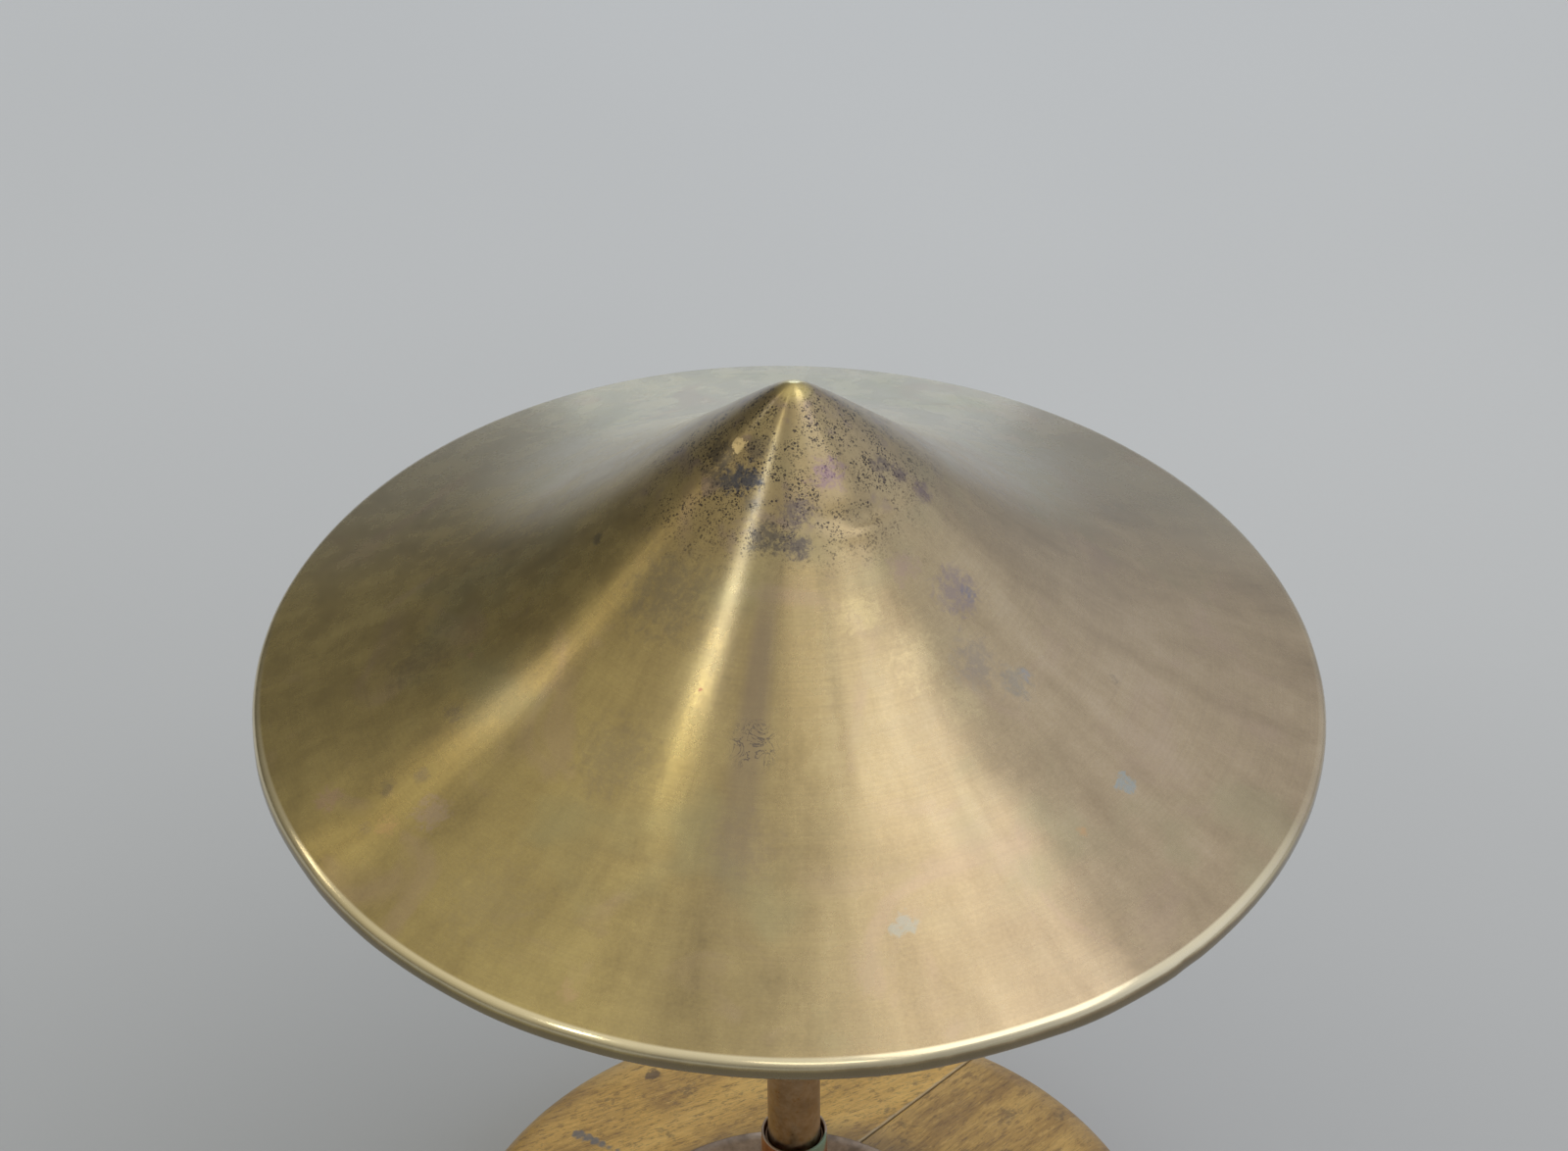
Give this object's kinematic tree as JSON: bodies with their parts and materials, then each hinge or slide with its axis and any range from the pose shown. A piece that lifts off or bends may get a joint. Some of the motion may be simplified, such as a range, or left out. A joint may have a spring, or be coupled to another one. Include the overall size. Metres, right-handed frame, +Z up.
{
  "type": "table lamp",
  "caption": "Table lamp with a wide pointed spun-metal shade on a swivelling, tilting harp mount, a telescopic metal stem with a clamp screw, and a thick round wooden base.",
  "frame": {"origin": "on the stem's axis, on the surface that the lamp stands on", "axes": "+Z up the stem; -Y to the front, where the clamp screw and the switch key are; +X to the right"},
  "size_m": [0.35, 0.35, 0.4518],
  "materials": {
    "base_wood": "worn oiled beech, satin",
    "base_felt": "dense wool felt",
    "cover_board": "hard fibreboard, matt",
    "ballast_iron": "rough cast",
    "shade_brass": "spun and polished, heavily aged, unlacquered",
    "disc_brass": "dark brown patina",
    "stem_brass": "dark brown patina, satin",
    "fitting_brass": "aged, satin",
    "sleeve_copper": "aged copper tube, satin",
    "steel": "turned steel",
    "bakelite": "dark brown moulded",
    "porcelain": "off-white glaze",
    "bulb_clear_glass": "clear",
    "bulb_black_glass": "black insulating glass, opaque",
    "bulb_solder": "dull solder",
    "filament_wire": "drawn wire"
  },
  "bodies": {
    "base": {"base_board_front": "base_wood", "base_board_rear": "base_wood", "felt_pad": "base_felt", "bottom_cover": "cover_board", "cover_screw_1": "steel", "cover_screw_2": "steel", "cover_screw_3": "steel", "ballast": "ballast_iron", "nipple_washer": "steel", "nipple_nut": "fitting_brass", "base_disc": "disc_brass", "fixing_nipple": "disc_brass", "cord_gland": "bakelite", "sleeve_tube": "sleeve_copper", "guide_bush": "fitting_brass", "clamp_boss": "fitting_brass"},
    "clamp": {"clamp_screw": "fitting_brass"},
    "stem": {"stem_tube": "stem_brass", "foot_ring": "fitting_brass", "stem_plug": "fitting_brass", "holder_cap": "fitting_brass", "holder_shell": "fitting_brass", "holder_insulator": "porcelain", "centre_contact": "fitting_brass", "screw_shell": "fitting_brass", "mouth_ring": "porcelain", "harp_saddle": "fitting_brass", "harp_bow": "fitting_brass", "swivel_stud": "steel"},
    "left_ferrule": {"ferrule_left": "fitting_brass"},
    "right_ferrule": {"ferrule_right": "fitting_brass"},
    "switch": {"key_spindle": "steel", "switch_key": "bakelite"},
    "bulb_end": {"bulb_foot": "bulb_black_glass", "bulb_contact": "bulb_solder"},
    "bulb": {"bulb_cap": "fitting_brass", "bulb_glass": "bulb_clear_glass", "bulb_mount": "bulb_clear_glass", "filament": "filament_wire"},
    "fork": {"tilt_fork": "fitting_brass", "tilt_pin": "steel"},
    "lock_nut": {"tilt_nut": "fitting_brass"},
    "shade_unit": {"shade": "shade_brass", "rim_wire": "ballast_iron", "shade_boss": "fitting_brass"}
  },
  "joints": [
    {"name": "stem_height", "type": "slide", "parent": "base", "child": "stem", "axis": [0, 0, 1], "range_m": [-0.004, 0.036]},
    {"name": "clamp_turn", "type": "hinge", "parent": "base", "child": "clamp", "pos_m": [0, -0.021, 0.106], "axis": [0, -1, 0], "range_deg": [0, 720]},
    {"name": "left_ferrule_lift", "type": "slide", "parent": "stem", "child": "left_ferrule", "axis": [0, 0, 1], "range_m": [0, 0.0112]},
    {"name": "right_ferrule_lift", "type": "slide", "parent": "stem", "child": "right_ferrule", "axis": [0, 0, 1], "range_m": [0, 0.0112]},
    {"name": "switch_turn", "type": "hinge", "parent": "stem", "child": "switch", "pos_m": [0, -0.025, 0.2885], "axis": [0, -1, 0], "continuous": true},
    {"name": "bulb_lift", "type": "slide", "parent": "stem", "child": "bulb_end", "axis": [0, 0, 1], "range_m": [0, 0.0121]},
    {"name": "bulb_turn", "type": "hinge", "parent": "bulb_end", "child": "bulb", "pos_m": [0, 0, 0.31], "axis": [0, 0, 1], "range_deg": [0, 1200]},
    {"name": "shade_swivel", "type": "hinge", "parent": "stem", "child": "fork", "pos_m": [0, 0, 0.392], "axis": [0, 0, 1], "continuous": true},
    {"name": "lock_nut_turn", "type": "hinge", "parent": "fork", "child": "lock_nut", "pos_m": [0, -0.0085, 0.4078], "axis": [0, -1, 0], "range_deg": [0, 720]},
    {"name": "shade_tilt", "type": "hinge", "parent": "fork", "child": "shade_unit", "pos_m": [0, 0, 0.4078], "axis": [0, 1, 0], "range_deg": [-25, 25]}
  ],
  "couplings": [
    {"joint": "bulb_turn", "follows": "bulb_lift", "rad_per_m": 1730.9}
  ]
}
